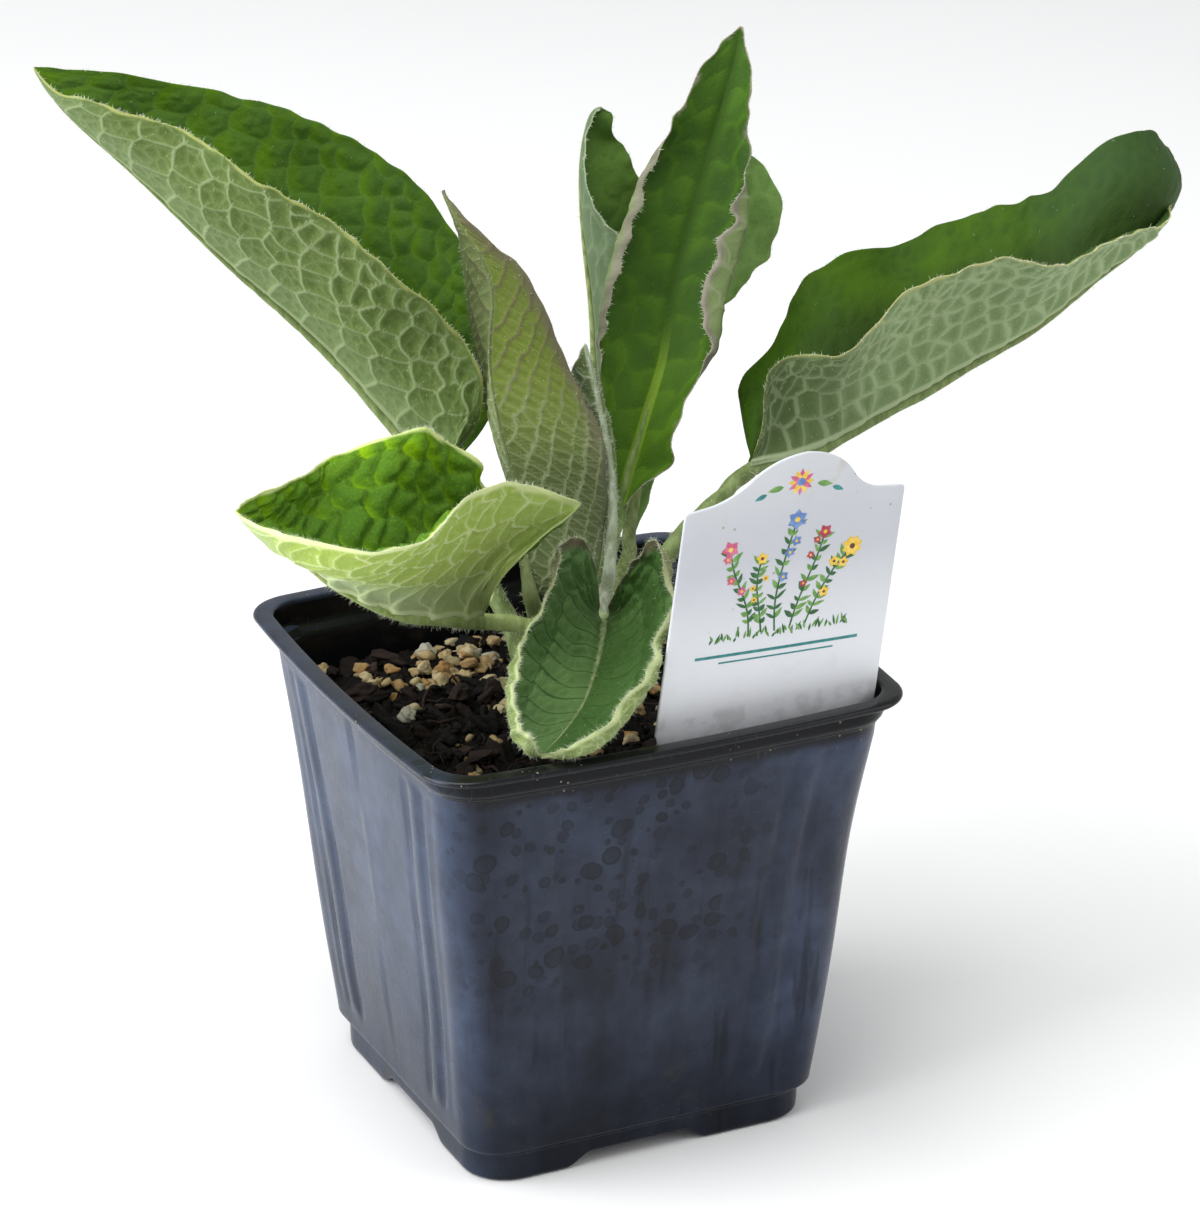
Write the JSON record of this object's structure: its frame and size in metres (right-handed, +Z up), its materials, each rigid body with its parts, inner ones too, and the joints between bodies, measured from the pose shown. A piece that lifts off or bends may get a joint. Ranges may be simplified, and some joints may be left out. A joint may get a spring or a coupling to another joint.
{
  "type": "potted comfrey plant",
  "caption": "Young broad-leaved comfrey plant with folded hairy leaves in a square black nursery pot of potting mix, with a white plant label.",
  "frame": {"origin": "middle of the pot's underside, on the surface it stands on", "axes": "+Z up; the pot's sides are square to X and Y; the plant label stands at the front, facing -Y; the largest leaves reach out to -X and +X"},
  "size_m": [0.2075, 0.1197, 0.1777],
  "materials": {
    "pot_plastic": "satin black, scuffed, with dried water spots",
    "potting_mix": "damp, dark bark and peat",
    "crown": "matt, fibrous",
    "label_plastic": "satin white",
    "leaf": "matt, softly hairy, with raised veins",
    "bark": "matt, flaky",
    "grit": "matt, granular",
    "perlite": "matt, porous"
  },
  "bodies": {
    "root": {"pot": "pot_plastic", "potting_mix": "potting_mix", "root_crown": "crown", "plant_label": "label_plastic", "leaf_left_large": "leaf", "leaf_front_left_cup": "leaf", "leaf_front_spoon": "leaf", "leaf_centre_tall": "leaf", "leaf_centre_left": "leaf", "leaf_young_folded": "leaf", "leaf_back_left": "leaf", "leaf_back_right": "leaf", "leaf_right_large": "leaf", "bark_chip_1": "bark", "bark_chip_2": "bark", "bark_chip_3": "bark", "bark_chip_4": "bark", "bark_chip_5": "bark", "bark_chip_6": "bark", "bark_chip_7": "bark", "grit_grain_1": "grit", "grit_grain_2": "grit", "grit_grain_3": "grit", "grit_grain_4": "grit", "grit_grain_5": "grit", "grit_grain_6": "grit", "grit_grain_7": "grit", "grit_grain_8": "grit", "perlite_grain_1": "perlite", "perlite_grain_2": "perlite", "perlite_grain_3": "perlite"}
  },
  "joints": []
}
